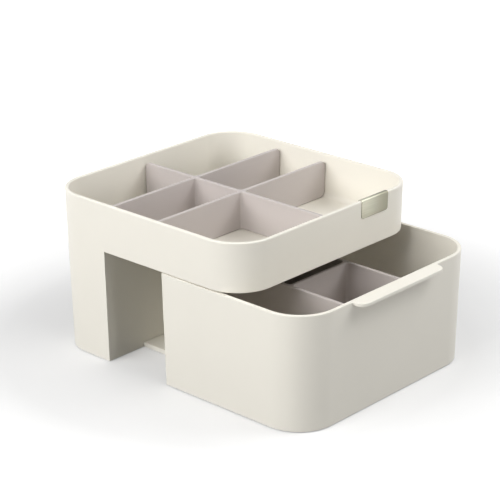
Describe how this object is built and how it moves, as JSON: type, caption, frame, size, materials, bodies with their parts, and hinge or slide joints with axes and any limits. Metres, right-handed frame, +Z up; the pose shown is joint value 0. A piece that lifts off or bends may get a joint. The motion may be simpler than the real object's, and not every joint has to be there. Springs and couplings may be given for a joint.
{
  "type": "cosmetic organizer with drawer",
  "caption": "Desk organizer with an open divided tray on a rear leg, deep wells in the leg, and a divided drawer that slides out under the tray.",
  "frame": {"origin": "on the table, under the middle of the housing's rim rectangle", "axes": "+X to the right seen from the drawer's side, +Y to the rear leg, +Z up; the drawer pulls out along -Y"},
  "size_m": [0.22, 0.2903, 0.1417],
  "materials": {
    "cream": "fine satin moulded",
    "taupe": "fine satin moulded",
    "tag_metal": "brushed, pale champagne",
    "steel": "zinc plated",
    "rubber": "matte"
  },
  "bodies": {
    "housing": {"housing_shell": "cream", "base_plate": "cream", "base_screws": "steel", "metal_tag": "tag_metal", "foot_rear_left": "rubber", "foot_rear_right": "rubber", "foot_front_left": "rubber", "foot_front_right": "rubber"},
    "tray_grid": {"tray_divider": "taupe"},
    "drawer": {"drawer_box": "cream", "drawer_divider": "taupe"}
  },
  "joints": [
    {"name": "drawer_slide", "type": "slide", "parent": "housing", "child": "drawer", "axis": [0, -1, 0], "range_m": [-0.0638, 0.0462]},
    {"name": "tray_grid_lift", "type": "slide", "parent": "housing", "child": "tray_grid", "axis": [0, 0, 1], "range_m": [0, 0.06]}
  ]
}
